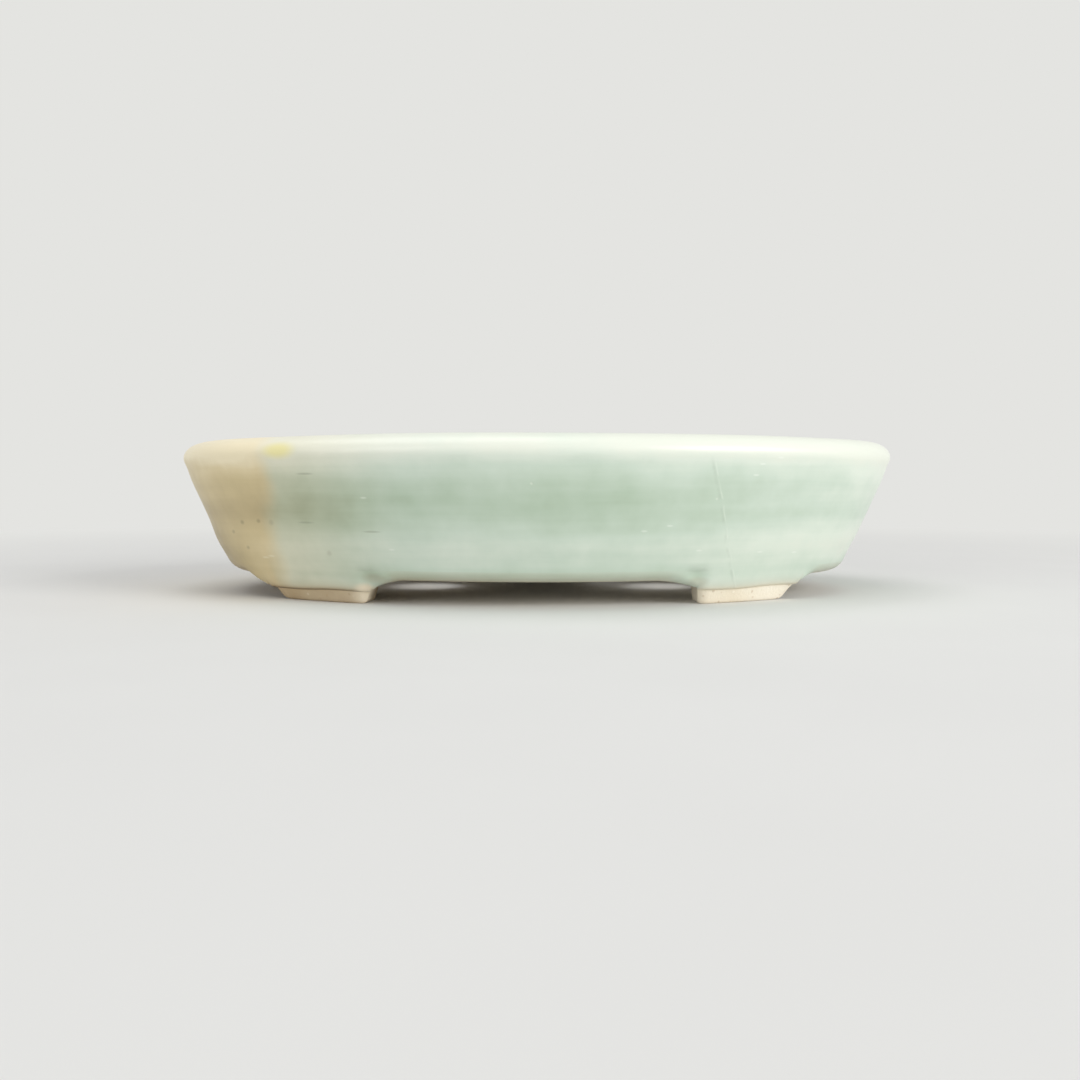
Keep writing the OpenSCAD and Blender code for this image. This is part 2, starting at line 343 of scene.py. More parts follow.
def keep_with_vertices(piece, name, values):
    """Gives the material a number at each vertex."""
    attribute = piece.data.attributes.new(name, "FLOAT", "POINT")
    attribute.data.foreach_set("value", np.asarray(values, np.float32))


def round_the_pot(oval_point):
    """Angle round the pot, with its length and depth made alike."""
    return np.arctan2(oval_point[:, 1] / POT_DEPTH, oval_point[:, 0] / POT_LENGTH)


def by_hand(oval_point, out, height):
    """Moves a true shape by what hand building leaves: a fuller wall, a belly, soft swellings and an
    uneven lip."""
    turn = round_the_pot(oval_point)
    upper = smooth_step(EDGE_TOP, POT_HEIGHT, height)
    full = smooth_step(*FULL_FROM, height) * (1 - smooth_step(*FULL_TO, height))
    belly = smooth_step(BELLY_BEGINS, BELLY_FULL, oval_point[:, 0])
    belly = belly * hump(height, BELLY_HEIGHT, BELLY_HALF_HEIGHT)
    swell = UNEVENNESS * waves(turn, WALL_WAVES)
    rise = UNEVENNESS * waves(turn, LIP_WAVES) - LIP_DROP_AT_ENDS * np.cos(2 * turn)
    return out + FULLNESS * full + BELLY * belly + upper * swell, height + upper * rise


# The cuts between the feet
def corner_signs(name):
    """Turns a place in this foot's quarter of the pot into one in the front right quarter, and back."""
    return np.array([1 if "right" in name else -1, 1 if "front" in name else -1])


def cut_outline(cut, rounded=1.0):
    """Outline of the end of a foot beside a cut, from the far end of the cove down to the table: how far
    each point lies inside the cut, and its height. The corner's radius is its own times rounded."""
    strayed, radius, upright, lean, width, bend = cut
    along = np.linspace(1, 0, COVE_STEPS)
    cove = np.column_stack([-lean - width * along, mixed(FLOOR_UNDERSIDE, upright, (1 - along) ** bend)])
    quarter = np.linspace(0, math.pi / 2, CORNER_STEPS)
    corner = radius * rounded * np.column_stack([1 - np.cos(quarter), 1 - np.sin(quarter)])
    outline = soften(np.vstack([cove, corner]), CUT_SOFTNESS)
    spacing = np.where(outline[:, 1] > upright, COVE_POINT, UPRIGHT_POINT)
    return resample(outline, spacing, CUT_POINTS) + [strayed, 0]


def underside(name, place):
    """At a place in a foot's quarter of the pot, given as for the front right foot: the height of the
    clay's underside, and in which direction the nearer cut runs."""
    from_front = np.interp(place[:, 0] - FRONT_OPENING / 2, *cut_outline(CUTS[name]["front"]).T)
    from_end = np.interp(-place[:, 1] - END_OPENING / 2, *cut_outline(CUTS[name]["end"]).T)
    cut_way = np.where((from_front >= from_end)[:, None], [0, 1], [-1, 0])
    return np.maximum(from_front, from_end), cut_way


def inside_cuts(name, place):
    """How far inside the front's cut and the end's cut a place is, given as for the front right foot."""
    return (place[:, 0] - FRONT_OPENING / 2 - CUTS[name]["front"][0],
            -place[:, 1] - END_OPENING / 2 - CUTS[name]["end"][0])


def on_foot(clay_under):
    """1 on a foot, 0 between the feet, and less and less along a cove, by the clay's underside."""
    return 1 - smooth_step(GLAZE_LINE, FLOOR_UNDERSIDE, clay_under)


def edge_rounding(clay_under):
    """Radius of the lower edge: small on the feet, large between them."""
    return mixed(EDGE_RADIUS, FOOT_EDGE, on_foot(clay_under))


def down_and_under(travelled, top, low, radius):
    """A face that goes down the wall from one height to another, and on round the lower edge: how far it
    lies off the wall's own face and its height, after travelling this far from the top."""
    straight = (top - low) / math.cos(LEAN)
    turned = LEAN + np.maximum(travelled - straight, 0) / radius
    under = low + radius * (math.sin(LEAN) - np.sin(turned))
    inward = wall_face(low) - radius * (math.cos(LEAN) - np.cos(turned)) - wall_face(under)
    on_wall = travelled <= straight
    return np.where(on_wall, 0, inward), np.where(on_wall, top - travelled * math.cos(LEAN), under)


def in_hollow(inside_front, height):
    """1 in the middle of the sponged hollow beside the front's cut, and less round it."""
    return (hump(inside_front, -HOLLOW_OUTSIDE, HOLLOW_HALF_WIDTH)
            * hump(height, FLOOR_UNDERSIDE + HOLLOW_ABOVE, HOLLOW_HALF_HEIGHT))


def sponged_in(inside_front, inside_end, height, clay_under):
    """How far sponging sank the face at these distances inside the cuts."""
    edge = sum(depth * (1 - np.clip(inside / SPONGED_REACH, 0, 1)) ** 2
               for inside, depth in [(inside_front, SPONGED_AT_FRONT), (inside_end, SPONGED_AT_END)])
    low = 1 - smooth_step(SPONGED_FULL, SPONGED_UP_TO, height)
    return edge * low * on_foot(clay_under) + HOLLOW_DEPTH * in_hollow(inside_front, height)


# Pieces
def lip_line(coat):
    """Section over the lip under a coat of glaze: up the wall's inner face, over the crest, down the outer.
    What the ellipse has inside the wall is left out."""
    across, up = np.cos(LIP_ANGLES), np.sin(LIP_ANGLES)
    half_width = np.where(across < 0, LIP_INNER_SHOULDER, LIP_SHOULDER) + coat
    lip = LIP_CENTRE + np.column_stack([half_width * across, (LIP_RISE + coat) * up])
    proud_inside = lip[:, 0] <= wall_face(lip[:, 1], -WALL_THICKNESS - coat)
    proud_outside = lip[:, 0] >= wall_face(lip[:, 1], coat)
    lip = lip[proud_inside | proud_outside | (lip[:, 1] > LIP_CENTRE[1])]
    low = EDGE_TOP - (EDGE_RADIUS + coat) * math.sin(LEAN)
    inside = [wall_face(GLAZE_INSIDE_END, -WALL_THICKNESS - coat), GLAZE_INSIDE_END]
    return soften(np.vstack([inside, lip, [wall_face(low, coat), low]]), LIP_SOFTNESS)


def lip_rows(line, coarseness=1):
    return resample(line, coarseness * np.where(line[:, 1] > LIP_BOTTOM, LIP_ROW, WALL_ROW))


# The glaze's rows below the wall: how many go down and round the lower edge, and for each row in under a
# cove, how far in it is and its share of the thickness. Spare points hold their places in the section.
ROWS_DOWN = 21
ROWS_UNDER_COVE = [(0.2, 1.0), (0.5, 1.0), (0.8, 0.9), (1.0, 0.3)]
SPARE_POINT = 0.3

# Halvings that find the height of the clay's underside, to less than a thousandth of a millimetre.
HALVINGS = 14

# The glaze's ends: inside the pot it thins by this share, within this reach of its end. It wraps round a
# cove's edge where the clay lies from the first to the second of these heights above its line, and never
# less than the least, which keeps its rows apart. On a foot it ends in a rounded bead, on the last part of
# its way, and near a foot it lies thinner. It stops short of the cove's far end, and turns less far under
# where the clay comes close to the floor.
THINS_INSIDE, THINS_WITHIN = 0.7, 0.7
WRAP_BEGINS, WRAP_FULL, LEAST_WRAP = 0.2, 0.9, 0.02
BEAD_PART, BEAD_ROUNDING = 0.1, 0.85
THINNER_BY_FOOT, THINNER_FROM = 0.5, 0.5
COVE_FAR_END = 1.5
FLOOR_CLOSE, FLOOR_CLOSEST = 0.3, 0.05

# How deep the glaze looks by its height, where 1 is a full green: outside and inside the pot.
# Outside, the greener band halfway down and the paler band below it are partly the glaze's thickness and
# partly painted light: a painted reflection of the room and painted light bounced up from the table.
OUTER_DEPTHS_AND_LIGHT = [(1.6, 0.3), (2.4, 0.5), (5.0, 0.64), (7.0, 0.58), (9.0, 0.45), (10.0, 0.5), (12.0, 0.69),
                (15.0, 0.89), (17.5, 0.9), (19.0, 0.84), (22.0, 0.64), (23.4, 0.35), (25.0, 0.0)]
INNER_DEPTHS = [(19.0, 0.15), (20.0, 0.6), (23.0, 0.5), (25.0, 0.0)]
CREST_BEGINS = 25.0

# Where the glaze on the front lies thicker or thinner, and where light is painted into it as deeper or
# paler glaze: X on the lip's oval and half width, height and half height, in millimetres, and how much.
# These fade out round the ends, over this distance in Y.
PATCHES_AND_PAINTED_LIGHT = {
    # A painted reflection: a dark reflection in the glossy glaze, painted as deeper green glaze.
    "painted reflection left of the middle": (-38.0, 9.0, 15.0, 3.5, 0.3),
    # Painted shade: the lower left end, which lies in shade, painted as deeper glaze.
    "painted shade low on the left end": (-63.0, 9.0, 8.0, 4.5, 0.6),
    "thin high on the left end": (-60.0, 11.0, 18.5, 2.5, -0.25),
    "thin above the left foot": (-46.0, 6.0, 6.5, 3.5, -0.22),
    "thin under the lip on the left": (-40.0, 22.0, 22.7, 2.2, -0.32),
    # Partly thinner glaze and partly painted light: the right side, where the light falls, painted paler.
    "thinner glaze and painted light on the right": (62.0, 30.0, 14.0, 12.0, -0.42),
}
FRONT_FADES = 12.0

# Glaze pooled along the lower edge between the feet, round this height, and in the sponged hollows. In the
# hollows the deeper green is partly painted shade.
POOLED_AND_SHADE, POOL_HEIGHT, POOL_HALF_HEIGHT = 0.2, 4.8, 1.2

# Clay shows through the glaze near its ends: how far it reaches on the feet and between them, and how
# strongly it shows between them. Between the feet its wider reach is partly painted shade along the lower
# edge.
SHOWS_ON_FOOT, SHOWS_AND_SHADES_BETWEEN, STRENGTH_AND_SHADE_BETWEEN = 0.8, 2.0, 0.75


def glaze_rows():
    """Each row of the glaze below the wall: how far it is on its way down and round the lower edge, how far
    in under a cove, and the thickness of the glaze. The last rows come back on the clay's side."""
    down = np.linspace(0, 1, ROWS_DOWN + 1)[1:]
    under, share = np.array(ROWS_UNDER_COVE).T
    outer = np.vstack([np.column_stack([down, 0 * down, 0 * down + GLAZE]),
                       np.column_stack([0 * under + 1, under, GLAZE * share])])
    hidden = outer[::-2] * [1, 1, 0] - [0, 0, GLAZE_SUNK]
    return np.vstack([outer, hidden])


def underside_of_columns(oval_point, outward, quarters):
    """The height of the clay's underside at each column of the glaze, where the leaning face comes down to
    it, and the direction of the nearer cut. The height is found by halving."""
    clay_under, cut_way = np.zeros(len(oval_point)), np.zeros_like(oval_point)
    for name, near in quarters.items():
        lowest, highest = np.zeros(near.sum()), np.full(near.sum(), FLOOR_UNDERSIDE)
        for _ in range(HALVINGS):
            tried = (lowest + highest) / 2
            place = oval_point[near] + outward[near] * wall_face(tried)[:, None]
            found, way = underside(name, place * corner_signs(name))
            lowest = np.where(found > tried, tried, lowest)
            highest = np.where(found > tried, highest, tried)
        clay_under[near], cut_way[near] = tried, way * corner_signs(name)
    return clay_under, cut_way


def depth_of_glaze_and_light(oval_point, height, inside, clay_under, hollow):
    """Glaze is thin where it ran off the lip, thick halfway down the wall, and pools low down. Some of its
    depth is painted light: painted reflection, painted shade and painted bounced light.
    """
    patches = sum(amount * hump(oval_point[:, 0], x, half_width) * hump(height, z, half_height)
                  for x, half_width, z, half_height, amount in PATCHES_AND_PAINTED_LIGHT.values())
    pooled_and_shaded = POOLED_AND_SHADE * ((1 - on_foot(clay_under)) * hump(height, POOL_HEIGHT, POOL_HALF_HEIGHT) + hollow)
    in_front = smooth_step(FRONT_FADES, -FRONT_FADES, oval_point[:, 1])
    outer = np.interp(height, *np.transpose(OUTER_DEPTHS_AND_LIGHT)) + (patches + pooled_and_shaded) * in_front
    return np.where(inside, np.interp(height, *np.transpose(INNER_DEPTHS)), outer)


def glaze_coat(finish):
    """The glaze, as one skin. Its section goes from inside the wall over the lip and down to its lower end,
    round the edge of a cove and in under it, and back up through the clay."""
    over, back = lip_rows(lip_line(GLAZE)), lip_rows(lip_line(-GLAZE_SUNK), HIDDEN_COARSENESS)[::-1]
    crest = np.argmax(over[:, 1])
    thinning = THINS_INSIDE * np.exp((GLAZE_INSIDE_END - over[:, 1]) / THINS_WITHIN)
    over[:crest, 0] += thinning[:crest] * GLAZE / math.cos(LEAN)
    low_rows = glaze_rows()
    spare = np.tile(EDGE_CENTRE, (len(low_rows), 1))
    spare[:, 1] -= SPARE_POINT * np.arange(len(low_rows))
    section = np.vstack([over, spare, back])
    rows = np.vstack([np.full((len(over), 3), -1), low_rows, np.full((len(back), 3), -1)])
    piece, oval_point, outward, step = carried_round("glaze_coat_skin", section, finish)
    quarters = {name: (oval_point * corner_signs(name) * [1, -1] >= 0).all(1) for name in CUTS}
    clay_under, cut_way = underside_of_columns(oval_point, outward, quarters)

    # On a foot the glaze ends at its line, along a cove it is drawn under, and between the feet nearly so.
    line = GLAZE_LINE + waves(round_the_pot(oval_point), LINE_WAVES) + LINE_SLOPE * oval_point[:, 0]
    wrapped = mixed(LEAST_WRAP, 1, smooth_step(line + WRAP_BEGINS, line + WRAP_FULL, clay_under))
    between = smooth_step(FLOOR_UNDERSIDE - FLOOR_CLOSE, FLOOR_UNDERSIDE - FLOOR_CLOSEST, clay_under)
    down, under, coat = rows[step].T
    below = down >= 0
    bead = np.sqrt(1 - BEAD_ROUNDING * np.clip((down - 1) / BEAD_PART + 1, 0, 1) ** 2)
    thinner = 1 - THINNER_BY_FOOT * on_foot(clay_under) * smooth_step(THINNER_FROM, 1, down)
    coat = np.where(coat > 0, coat * mixed(bead, thinner, wrapped), coat)

    # Each row goes down the wall and round the lower edge, and is sponged in with the clay under it.
    radius = edge_rounding(clay_under) + coat
    top = EDGE_TOP - (EDGE_RADIUS + coat) * math.sin(LEAN)
    leaves_wall = np.minimum(clay_under + edge_rounding(clay_under) - radius * math.sin(LEAN), top)
    low = np.maximum(line, leaves_wall)
    way_round = radius * wrapped * (mixed(math.pi / 2, GLAZE_TUCK, between) - LEAN)
    whole_way = (top - low) / math.cos(LEAN) + way_round
    inward, height = down_and_under(np.maximum(down, 0) * whole_way, top, low, radius)
    out, hollow = wall_face(height, coat) + inward, np.zeros(len(height))
    for name, near in quarters.items():
        clay_face = out[near] - coat[near] / math.cos(LEAN)
        place = (oval_point[near] + outward[near] * clay_face[:, None]) * corner_signs(name)
        inside_front, inside_end = inside_cuts(name, place)
        out[near] -= sponged_in(inside_front, inside_end, height[near], clay_under[near])
        hollow[near] = in_hollow(inside_front, height[near])
    out, height = np.where(below, out, section[step, 0]), np.where(below, height, section[step, 1])
    short_of_end = 1 - smooth_step(FLOOR_UNDERSIDE - COVE_FAR_END, FLOOR_UNDERSIDE, clay_under)
    under_cove = GLAZE_UNDER_COVE * wrapped * short_of_end
    put(piece, oval_point, outward, out, height, np.where(below, under_cove * under, 0)[:, None] * cut_way)

    inside = (step < crest) & (height < CREST_BEGINS)
    depth = depth_of_glaze_and_light(oval_point, height, inside, clay_under, hollow * below)
    keep_with_vertices(piece, "glaze_depth_and_light", depth)
    from_end = np.where(below, whole_way * (1 - down) + under_cove * (1 - under), np.inf)
    from_end = np.where(inside, height - GLAZE_INSIDE_END, from_end)
    foot = np.where(below, on_foot(clay_under), 1)
    # Between the feet the clay shows farther up, partly as painted shade along the lower edge.
    shows = np.exp(-from_end / mixed(SHOWS_AND_SHADES_BETWEEN, SHOWS_ON_FOOT, foot))
    keep_with_vertices(piece, "glaze_end_and_shade", shows * mixed(STRENGTH_AND_SHADE_BETWEEN, 1, foot))
    return piece


def clay_wall(finish):
    """The wall's slab, with a coil of clay smoothed into the corner where it stands on the floor."""
    corner = np.array([wall_face(FLOOR_TOP, -WALL_THICKNESS), FLOOR_TOP])
    up_the_wall, along_the_floor = np.array([math.sin(LEAN), math.cos(LEAN)]), np.array([-1, 0])
    t = np.linspace(0, 1, FILLET_STEPS)[:, None]
    fillet = corner + CORNER_FILLET * ((1 - t) ** 2 * up_the_wall + t ** 2 * along_the_floor)
    face = resample(np.array([[wall_face(LIP_JOINT, -WALL_THICKNESS), LIP_JOINT], fillet[0]]), INNER_ROW)
    section = np.vstack([fillet[:0:-1], face[::-1], [wall_face(LIP_JOINT, -WALL_SUNK), LIP_JOINT],
                         [wall_face(FLOOR_TOP, -WALL_SUNK), FLOOR_TOP]])
    piece, oval_point, outward, step = carried_round("wall_slab", section, finish)
    put(piece, oval_point, outward, *section[step].T)
    return piece


def clay_lip(finish):
    """The lip's coil, under the glaze."""
    line = lip_rows(lip_line(-WALL_SUNK))
    section = line[line[:, 1] >= LIP_JOINT]
    piece, oval_point, outward, step = carried_round("lip_coil", section, finish)
    put(piece, oval_point, outward, *section[step].T)
    return piece


def way_at_y(y, out):
    """Direction in which the line this far outside the oval is at this distance in front of the middle."""
    along_side = np.arccos(np.clip((y + SIDE_CENTRE) / (SIDE_RADIUS + out), -1, 1))
    round_end = np.arccos(np.clip(y / (END_RADIUS + out), -1, 1))
    return np.where(y > (END_RADIUS + out) * math.cos(ARCS_MEET), along_side, round_end)


def place_on_oval(way, out):
    """Place in the front right quarter, in this direction, on the line this far outside the oval."""
    on_side = way < ARCS_MEET
    radius = np.where(on_side, SIDE_RADIUS, END_RADIUS) + out
    return (np.where(on_side, 0, END_CENTRE) + radius * np.sin(way),
            np.where(on_side, SIDE_CENTRE, 0) - radius * np.cos(way))


# A foot's rows, how many points it has along its middle, and what share of a cut's rounded corner is left
# at its back. Its back edge takes up less than half of the foot's height.
FOOT_ROWS = {"face": 14, "sole": 12, "back edge": 5, "back": 5}
FOOT_MIDDLE_POINTS = 34
ROUNDED_AT_BACK = 0.05
BACK_EDGE_SHARE = 0.45


def foot_row(name, kind, t):
    """One row of points along a foot, from cove to cove. The rows go down its outer face and round the
    edge, over the sole, round the inner edge and up the back. On each of these, t goes from 0 to 1."""
    rounded = {"face": 1, "sole": mixed(1, ROUNDED_AT_BACK, t)}.get(kind, ROUNDED_AT_BACK)
    front_cut = cut_outline(CUTS[name]["front"], rounded)
    end_cut = cut_outline(CUTS[name]["end"], rounded)[::-1]
    between = 0.5 - 0.5 * np.cos(np.linspace(0, math.pi, FOOT_MIDDLE_POINTS + 2))[1:-1]
    clay_under = np.concatenate([front_cut[:, 1], 0 * between, end_cut[:, 1]])
    clay_under = clay_under + COVE_TIP_IN_FLOOR * (clay_under / FLOOR_UNDERSIDE) ** COVE_TIP_BEND
    far = np.full(len(end_cut), FOOT_LENGTH)
    along = mixed(front_cut[-1, 0], FOOT_LENGTH - end_cut[0, 0], between)
    inside_front = np.concatenate([front_cut[:, 0], along, far]) - CUTS[name]["front"][0]
    inside_end = np.concatenate([far, FOOT_LENGTH - along, end_cut[:, 0]]) - CUTS[name]["end"][0]
    back_radius = np.minimum(FOOT_EDGE, BACK_EDGE_SHARE * (FOOT_TOP - clay_under))
    quarter = t * math.pi / 2

    def front(part):
        radius = edge_rounding(clay_under)
        low = clay_under + radius * (1 - math.sin(LEAN))
        above = np.maximum(low, FOOT_TOP)
        first = np.arcsin(np.clip(1 - (FOOT_TOP - clay_under) / radius, math.sin(LEAN), 1)) - LEAN
        whole_way = (above - low) / math.cos(LEAN) + radius * (math.pi / 2 - LEAN)
        inward, height = down_and_under(mixed(radius * first, whole_way, part), above, low, radius)
        sponged = sponged_in(inside_front, inside_end, height, clay_under)
        return wall_face(height, -FOOT_SUNK) + inward - sponged, height

    def back(height):
        return WALL_TOE - FOOT_WIDTH - FOOT_SPREAD * height / FLOOR_UNDERSIDE

    if kind == "face":
        out, height = front(t)
    elif kind == "sole":
        height = clay_under
        out = mixed(front(1)[0], back(height) + back_radius, t)
    elif kind == "back edge":
        height = clay_under + back_radius * (1 - math.cos(quarter))
        out = back(clay_under) + back_radius * (1 - math.sin(quarter))
    else:
        height = mixed(clay_under + back_radius, FOOT_TOP, t)
        out = back(height)

    at_front, at_end = len(front_cut), -len(end_cut)
    way_from = np.arcsin((FRONT_OPENING / 2 + front_cut[:, 0]) / (SIDE_RADIUS + out[:at_front]))
    way_to = way_at_y(END_OPENING / 2 + end_cut[:, 0], out[at_end:])
    way = np.concatenate([way_from, mixed(way_from[-1], way_to[0], between), way_to])
    return np.column_stack([*place_on_oval(way, out), height])


def clay_foot(name, finish):
    """A foot: a piece of the ring, with a cut and a cove at each end."""
    rows = [foot_row(name, "face", 0)]
    for kind, count in FOOT_ROWS.items():
        rows += [foot_row(name, kind, t) for t in np.linspace(0, 1, count + 1)[1:]]
    place = np.stack(rows, 1) * [*corner_signs(name), 1] * MM

    index = np.arange(place.shape[0] * place.shape[1]).reshape(place.shape[:2])
    here, there = index[:-1], index[1:]
    sides = np.stack([here, np.roll(here, -1, 1), np.roll(there, -1, 1), there], 2).reshape(-1, 4)
    faces = [*sides.tolist(), index[0, ::-1].tolist(), index[-1].tolist()]
    if corner_signs(name).prod() < 0:
        faces = [face[::-1] for face in faces]
    mesh = bpy.data.meshes.new("foot_" + name + "_block")
    mesh.from_pydata(place.reshape(-1, 3).tolist(), [], faces)
    mesh.materials.append(finish)
    mesh.shade_smooth()
    mesh.set_sharp_from_angle(angle=SHARP_EDGE)
    piece = bpy.data.objects.new(mesh.name, mesh)
    bpy.context.scene.collection.objects.link(piece)
    return piece


# Materials
def new_material(name):
    """A new material, its nodes, and the place on the pot in millimetres."""
    material = bpy.data.materials.new(name)
    material.use_nodes = True
    tree = material.node_tree
    tree.nodes.clear()
    place = add(tree, "ShaderNodeTexCoord").node.outputs["Object"]
    return material, tree, add(tree, "ShaderNodeVectorMath", {0: place, "Scale": 1 / MM}, operation="SCALE")


# Nearly all of a noise lies between these values.
NOISE_LOW, NOISE_HIGH = 0.3, 0.7

# The glaze's colours by its depth, where 1 is a full green: fired green, and oxidised.
DEEPEST = 1.3
GREEN = [(0.0, "#e5e9dc"), (0.3 / DEEPEST, "#dce5d8"), (0.6 / DEEPEST, "#cad8c9"),
         (1.0 / DEEPEST, "#b4c6b1"), (1.0, "#a1b097")]
WARM = [(0.0, "#f3e7c6"), (0.3 / DEEPEST, "#dfcfa6"), (0.6 / DEEPEST, "#d0bf93"),
        (1.0 / DEEPEST, "#bbaa80"), (1.0, "#a8966a")]

# Patterns in the glaze's depth: the size of each along, across and up the pot in millimetres, the noise's
# detail and roughness, and how much thicker or thinner the glaze is.
DEPTH_PATTERNS = {
    "clouds": ((18.0, 18.0, 18.0), 4.0, 0.62, 0.16),
    "streaks left by wiping": ((45.0, 45.0, 2.5), 3.0, 0.5, 0.1),
    "curdled patches": ((4.0, 4.0, 4.0), 2.0, 0.5, 0.045),
}

# The kiln's flame oxidised the left end of the pot as far as an edge at this X, which wavers over patches
# of this size by this much. The edge is this soft in front and at the back, changing from one Y to the
# other. A last tinge of it reaches on to another X.
OXIDISED_EDGE, EDGE_PATCH, EDGE_WAVERS = -43.5, 9.0, 4.0
SOFT_IN_FRONT, SOFT_AT_BACK, SOFTENS_FROM, SOFTENS_TO = 5.0, 26.0, -20.0, 10.0
TINGE, TINGE_REACHES = 0.38, -18.0

# Clay that shows through the ends of the glaze: pale, and toasted dark from one X to the other, each partly
# painted shade. It begins and is full at these values of glaze_end_and_shade, and then covers this share of
# the glaze.
# Painted shade: the pale end is greyed along the lower edge between the feet.
PALE_END_AND_SHADE = [(0.0, "#bfb7a6"), (1.0, "#e6dcc4")]
# Partly fire colour and partly painted shade: the dark line under the glaze's bead, darker on the left.
TOASTED_AND_SHADED_END = [(0.0, "#c9b998"), (0.45, "#b39b74"), (0.7, "#8d7350"), (1.0, "#786043")]
TOASTED_AND_SHADED_FROM, TOASTED_AND_SHADED_TO = 15.0, -40.0
END_BEGINS, END_FULL, END_SHARE = 0.05, 0.8, 0.95

# Marks that making and firing left in the glaze and on the clay, and some painted light: painted glints,
# painted shade in the hollows and painted highlights at a foot's corner. For each: the colour, how strongly
# it shows, half the size of the mark along, across and up the pot, and its places, all in millimetres. A
# mark fades from its core to its edge, both in half sizes.
MARKS_AND_PAINTED_LIGHT = {
    "iron that gathered on the lip": ("#efe59a", 0.75, (3.6, 4.0, 1.5), [(-40.5, -36.5, 24.7)]),
    "specks of iron": ("#6f664c", 0.4, (0.5, 1.5, 0.45), [
        (-49.0, -25.0, 13.1), (-45.6, -27.8, 13.4), (-51.3, -21.7, 11.4), (-48.5, -23.0, 8.8)]),
    "faint specks": ("#7d7a60", 0.22, (0.6, 1.5, 0.6), [(-43.1, -29.5, 13.2), (-33.2, -33.4, 8.3)]),
    "scratches": ("#868c76", 0.4, (1.7, 3.0, 0.2), [
        (-35.9, -37.3, 21.0), (-36.6, -33.4, 13.3), (-25.6, -38.0, 12.0)]),
    "a nick healed by the glaze": ("#ece6cf", 0.45, (0.8, 3.0, 0.22), [
        (-45.2, -24.8, 7.2), (-44.0, -26.0, 7.5)]),
    # Painted glints: small highlights painted pale into the glaze.
    "painted glints on pits": ("#f8fbf4", 0.3, (0.6, 3.0, 0.2), [
        (35.0, -38.5, 22.5), (34.0, -38.5, 20.8), (38.0, -37.5, 23.5), (20.5, -39.5, 13.0),
        (16.5, -40.0, 12.2), (25.5, -36.5, 9.0), (42.5, -27.0, 8.2), (36.0, -31.0, 8.5),
        (-26.5, -39.5, 17.3), (-22.5, -37.0, 9.2)]),
    # Painted shade: the sponged hollows painted grey as if in shadow.
    "painted shade in the hollows": ("#a59b84", 0.4, (2.2, 4.0, 1.0), [
        (-25.9, -33.5, 4.4), (25.6, -33.0, 3.8)]),
    # Partly clay through thin glaze and partly a painted highlight where the corner faces the key light.
    "clay and painted highlight at a sponged corner": ("#f2e4cb", 0.9, (2.2, 4.0, 1.2), [(-27.4, -31.0, 2.6)]),
}
# A painted highlight: the rounded inner corner of the left foot, painted pale where it faces the key light.
PAINTED_CLAY_HIGHLIGHT = {"painted highlight on a sponged corner": ("#f3e6cd", 0.85, (3.4, 4.5, 3.0), [(-26.8, -31.0, 1.5)])}
MARK_EDGE, MARK_CORE = 1.2, 0.3

# The seam is where the ends of the wall's slab were joined. It rises across the front from its foot, at
# this X, to its top, where it fades out, and leans to the left. It wavers over stretches of this length by
# this much, and comes and goes over short ones. Its lines are painted light and not shape: a painted
# highlight along a raised hairline and painted shade in a hollow beside it. Its lines: how far each lies
# off the middle, its half width, its colour and its strength.
SEAM_FOOT, SEAM_TOP, SEAM_FADES, SEAM_LEAN = 33.3, 23.8, 2.0, 0.26
SEAM_STRETCH, SEAM_WAVERS, SEAM_BREAKS = 6.0, 0.8, 2.0
SEAM_GONE, SEAM_WHOLE = 0.4, 0.65
SEAM_LIGHT_AND_SHADE = {"painted highlight line": (0.15, 0.22, "#eef3e8", 0.3), "hollow": (-0.25, 0.4, "#93a08d", 0.2)}

# Pinholes left by gas, healed over and paler than the glaze: how far apart they lie, how many of the places
# have none, their radius and that of their core, and how strongly they show. They are drawn larger than the
# real ones, which are too fine to show.
PINHOLE_SPACING, NO_PINHOLE, PINHOLE_RADIUS, PINHOLE_CORE, PINHOLE_SHOWS = 6.0, 0.55, 0.3, 0.12, 0.35

# The glaze's fine orange peel and the slow swell of fired glaze, each with its size and its depth, and the
# depth of a pinhole. Its roughness goes with the peel.
PEEL, PEEL_DEPTH, SWELL, SWELL_DEPTH, PINHOLE_DEPTH = 2.2, 0.02, 9.0, 0.12, 0.1
GLAZE_SMOOTH, GLAZE_ROUGH = 0.28, 0.42
CERAMIC_IOR = 1.5


def marked(tree, place, tone, marks):
    """The tone with marks on it."""
    for code, strength, size, places in marks.values():
        for centre in places:
            offset = add(tree, "ShaderNodeVectorMath", {0: place, 1: centre}, operation="SUBTRACT")
            offset = add(tree, "ShaderNodeVectorMath", {0: offset, 1: size}, operation="DIVIDE")
            distance = add(tree, "ShaderNodeVectorMath", {0: offset}, operation="LENGTH")
            mark = add(tree, "ShaderNodeMapRange", {
                "Value": distance.node.outputs["Value"], 1: MARK_EDGE, 2: MARK_CORE, 4: strength},
                interpolation_type="SMOOTHSTEP")
            tone = add(tree, "ShaderNodeMix", {0: mark, 6: tone, 7: colour(code)}, data_type="RGBA")
    return tone


